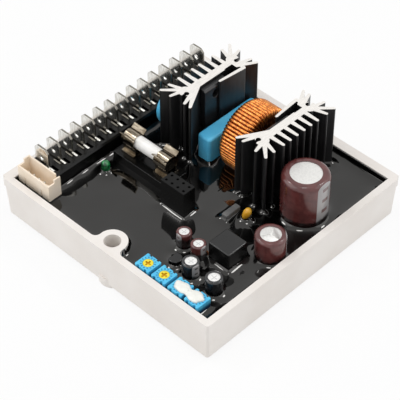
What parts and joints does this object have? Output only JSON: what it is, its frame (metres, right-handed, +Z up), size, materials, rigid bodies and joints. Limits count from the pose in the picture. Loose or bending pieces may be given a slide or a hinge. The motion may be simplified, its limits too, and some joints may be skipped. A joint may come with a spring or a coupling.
{
  "type": "automatic voltage regulator",
  "caption": "Open voltage regulator: a potted board in a square tray with tab terminals along one side, finned heatsinks, a wound choke, capacitors, trimmers and a fuse.",
  "frame": {"origin": "centre of the bounding box in plan, at the level of the two mounting feet", "axes": "+Y from the trimmers' end to the row of terminals, +Z up out of the open tray"},
  "size_m": [0.0898, 0.0928, 0.0368],
  "materials": {
    "ivory_moulding": "satin moulded surface",
    "board_laminate": "glass-epoxy laminate",
    "potting_resin": "cast resin with a mirror-smooth top",
    "black_moulding": "moulded, slightly glossy",
    "cream_moulding": "natural nylon",
    "tin_plate": "brass strip with bright tin plating",
    "nickel_plate": "nickel-plated spring sheet",
    "fuse_ceramic": "smooth white ceramic",
    "black_anodised": "black anodised, with bare cut ends",
    "black_epoxy": "moulded epoxy",
    "blue_epoxy": "dipped or cast epoxy",
    "core_iron": "pressed iron powder",
    "copper_wire": "enamelled copper wire",
    "bare_aluminium": "drawn aluminium",
    "maroon_sleeve": "shrunk sleeve",
    "black_sleeve": "shrunk sleeve",
    "blue_moulding": "moulded",
    "yellow_moulding": "moulded",
    "white_paint": "dried sealing paint",
    "green_lens": "tinted epoxy lens",
    "yellow_epoxy": "dipped epoxy"
  },
  "bodies": {
    "regulator": {"tray": "ivory_moulding", "circuit_board": "board_laminate", "potting": "potting_resin", "terminal_block": "black_moulding", "terminal_1": "tin_plate", "terminal_2": "tin_plate", "terminal_3": "tin_plate", "terminal_4": "tin_plate", "terminal_5": "tin_plate", "terminal_6": "tin_plate", "terminal_7": "tin_plate", "terminal_8": "tin_plate", "terminal_9": "tin_plate", "terminal_10": "tin_plate", "terminal_11": "tin_plate", "terminal_12": "tin_plate", "terminal_13": "tin_plate", "terminal_14": "tin_plate", "terminal_15": "tin_plate", "connector_housing": "cream_moulding", "connector_pins": "tin_plate", "fuse_holder": "black_moulding", "fuse_clips": "nickel_plate", "fuse_tube": "fuse_ceramic", "fuse_caps": "nickel_plate", "pin_socket": "black_moulding", "heatsink_rear": "black_anodised", "heatsink_front": "black_anodised", "power_device_rear": "black_epoxy", "power_device_front": "black_epoxy", "film_capacitor": "blue_epoxy", "varistor": "blue_epoxy", "choke_core": "core_iron", "choke_winding": "copper_wire", "bulk_capacitor": "bare_aluminium", "bulk_sleeve": "maroon_sleeve", "smoothing_capacitor": "bare_aluminium", "smoothing_sleeve": "maroon_sleeve", "small_capacitor_1": "bare_aluminium", "small_capacitor_2": "bare_aluminium", "small_capacitor_3": "bare_aluminium", "small_capacitor_4": "bare_aluminium", "small_sleeve_1": "maroon_sleeve", "small_sleeve_2": "maroon_sleeve", "small_sleeve_3": "black_sleeve", "small_sleeve_4": "black_sleeve", "trimmer_1": "blue_moulding", "trimmer_2": "blue_moulding", "trimmer_3": "blue_moulding", "trimmer_4": "blue_moulding", "rotor_1": "yellow_moulding", "rotor_2": "yellow_moulding", "sealing_paint": "white_paint", "status_led": "green_lens", "drop_capacitor": "yellow_epoxy", "resistor_network": "black_epoxy", "power_inductor": "black_epoxy", "small_transistor": "black_epoxy"},
    "middle_rotor": {"rotor_3": "yellow_moulding"},
    "rear_rotor": {"rotor_4": "yellow_moulding"}
  },
  "joints": [
    {"name": "middle_rotor_turn", "type": "hinge", "parent": "regulator", "child": "middle_rotor", "pos_m": [-0.0391, -0.0225, 0.0162], "axis": [0, 0, 1], "range_deg": [-130, 130]},
    {"name": "rear_rotor_turn", "type": "hinge", "parent": "regulator", "child": "rear_rotor", "pos_m": [-0.0391, -0.0155, 0.0162], "axis": [0, 0, 1], "range_deg": [-130, 130]}
  ]
}
